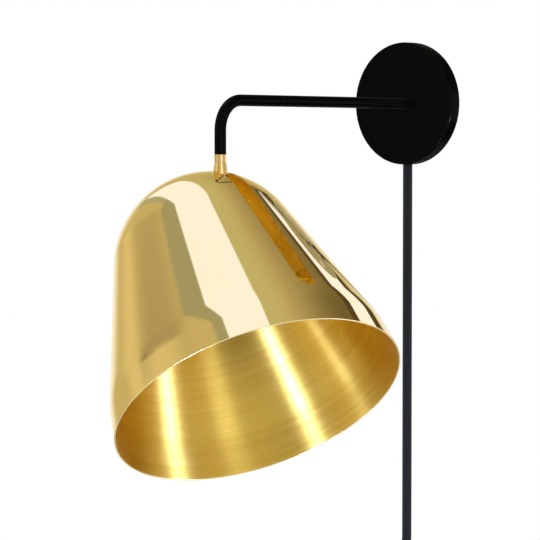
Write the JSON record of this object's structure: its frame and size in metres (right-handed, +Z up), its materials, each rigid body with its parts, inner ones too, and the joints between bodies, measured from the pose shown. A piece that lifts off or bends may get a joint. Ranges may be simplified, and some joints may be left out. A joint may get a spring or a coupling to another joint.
{
  "type": "wall light",
  "caption": "Plug-in wall light: round rose, bent arm, swivelling neck and a tilting polished brass bell shade with a neck slot, lamp holder, textile cord, switch and plug.",
  "frame": {"origin": "centre of the rose's back, on the wall", "axes": "+Y into the wall, +Z up, +X to the right as seen from the room; the arm stands out along -Y"},
  "size_m": [0.2096, 0.3323, 0.6472],
  "materials": {
    "black_satin": "satin black powder coat",
    "steel_zinc": "bright zinc plated",
    "brass_polished": "mirror polished and lacquered outside, circular brushed inside",
    "brass_plain": "turned, satin",
    "black_plastic": "fine matt texture",
    "black_gloss_plastic": "smooth",
    "braid": "textile braid",
    "wire_insulation": "silicone rubber sleeving",
    "slip_ring": "acetal",
    "pin_nickel": "nickel plated"
  },
  "bodies": {
    "wall_part": {"rose_cover": "black_satin", "wall_plate": "steel_zinc", "lock_screws": "steel_zinc", "cord_grip": "black_plastic", "cord_grip_screws": "steel_zinc", "arm_tube": "black_satin", "arm_nut": "steel_zinc", "arm_collar": "brass_polished", "arm_wires": "wire_insulation", "switch_back": "black_gloss_plastic", "switch_front": "black_gloss_plastic", "switch_screws": "steel_zinc", "rocker_pin": "steel_zinc", "switch_contacts": "brass_plain", "cord_drop": "braid", "cord_link": "braid", "cord_coil": "braid", "cord_tail": "braid", "coil_tie": "black_plastic", "plug_body": "black_plastic", "plug_pins": "pin_nickel"},
    "swivel": {"swivel_neck": "brass_polished", "swivel_clip": "steel_zinc", "swivel_washer": "slip_ring", "neck_wires": "wire_insulation"},
    "shade": {"shade_shell": "brass_polished", "shade_lugs": "brass_plain", "shade_bracket": "brass_plain", "bracket_screws": "steel_zinc", "hinge_screw": "brass_plain", "hinge_spring_washer": "steel_zinc", "hinge_washer": "slip_ring", "hinge_nut": "brass_plain", "lamp_holder": "black_plastic", "holder_thread": "brass_plain", "holder_contact": "brass_plain", "holder_screws": "steel_zinc", "holder_leads": "wire_insulation"},
    "rocker": {"switch_rocker": "black_gloss_plastic"}
  },
  "joints": [
    {"name": "neck_swivel", "type": "hinge", "parent": "wall_part", "child": "swivel", "pos_m": [0, -0.2086, -0.0428], "axis": [0, 0, 1], "range_deg": [-241.3, 98.7]},
    {"name": "shade_tilt", "type": "hinge", "parent": "swivel", "child": "shade", "pos_m": [0, -0.2086, -0.1171], "axis": [-0.3206, -0.9472, 0], "range_deg": [-37.46, 52.54]},
    {"name": "rocker_turn", "type": "hinge", "parent": "wall_part", "child": "rocker", "pos_m": [0, -0.013, -0.369], "axis": [1, 0, 0], "range_deg": [-14, 0]}
  ]
}
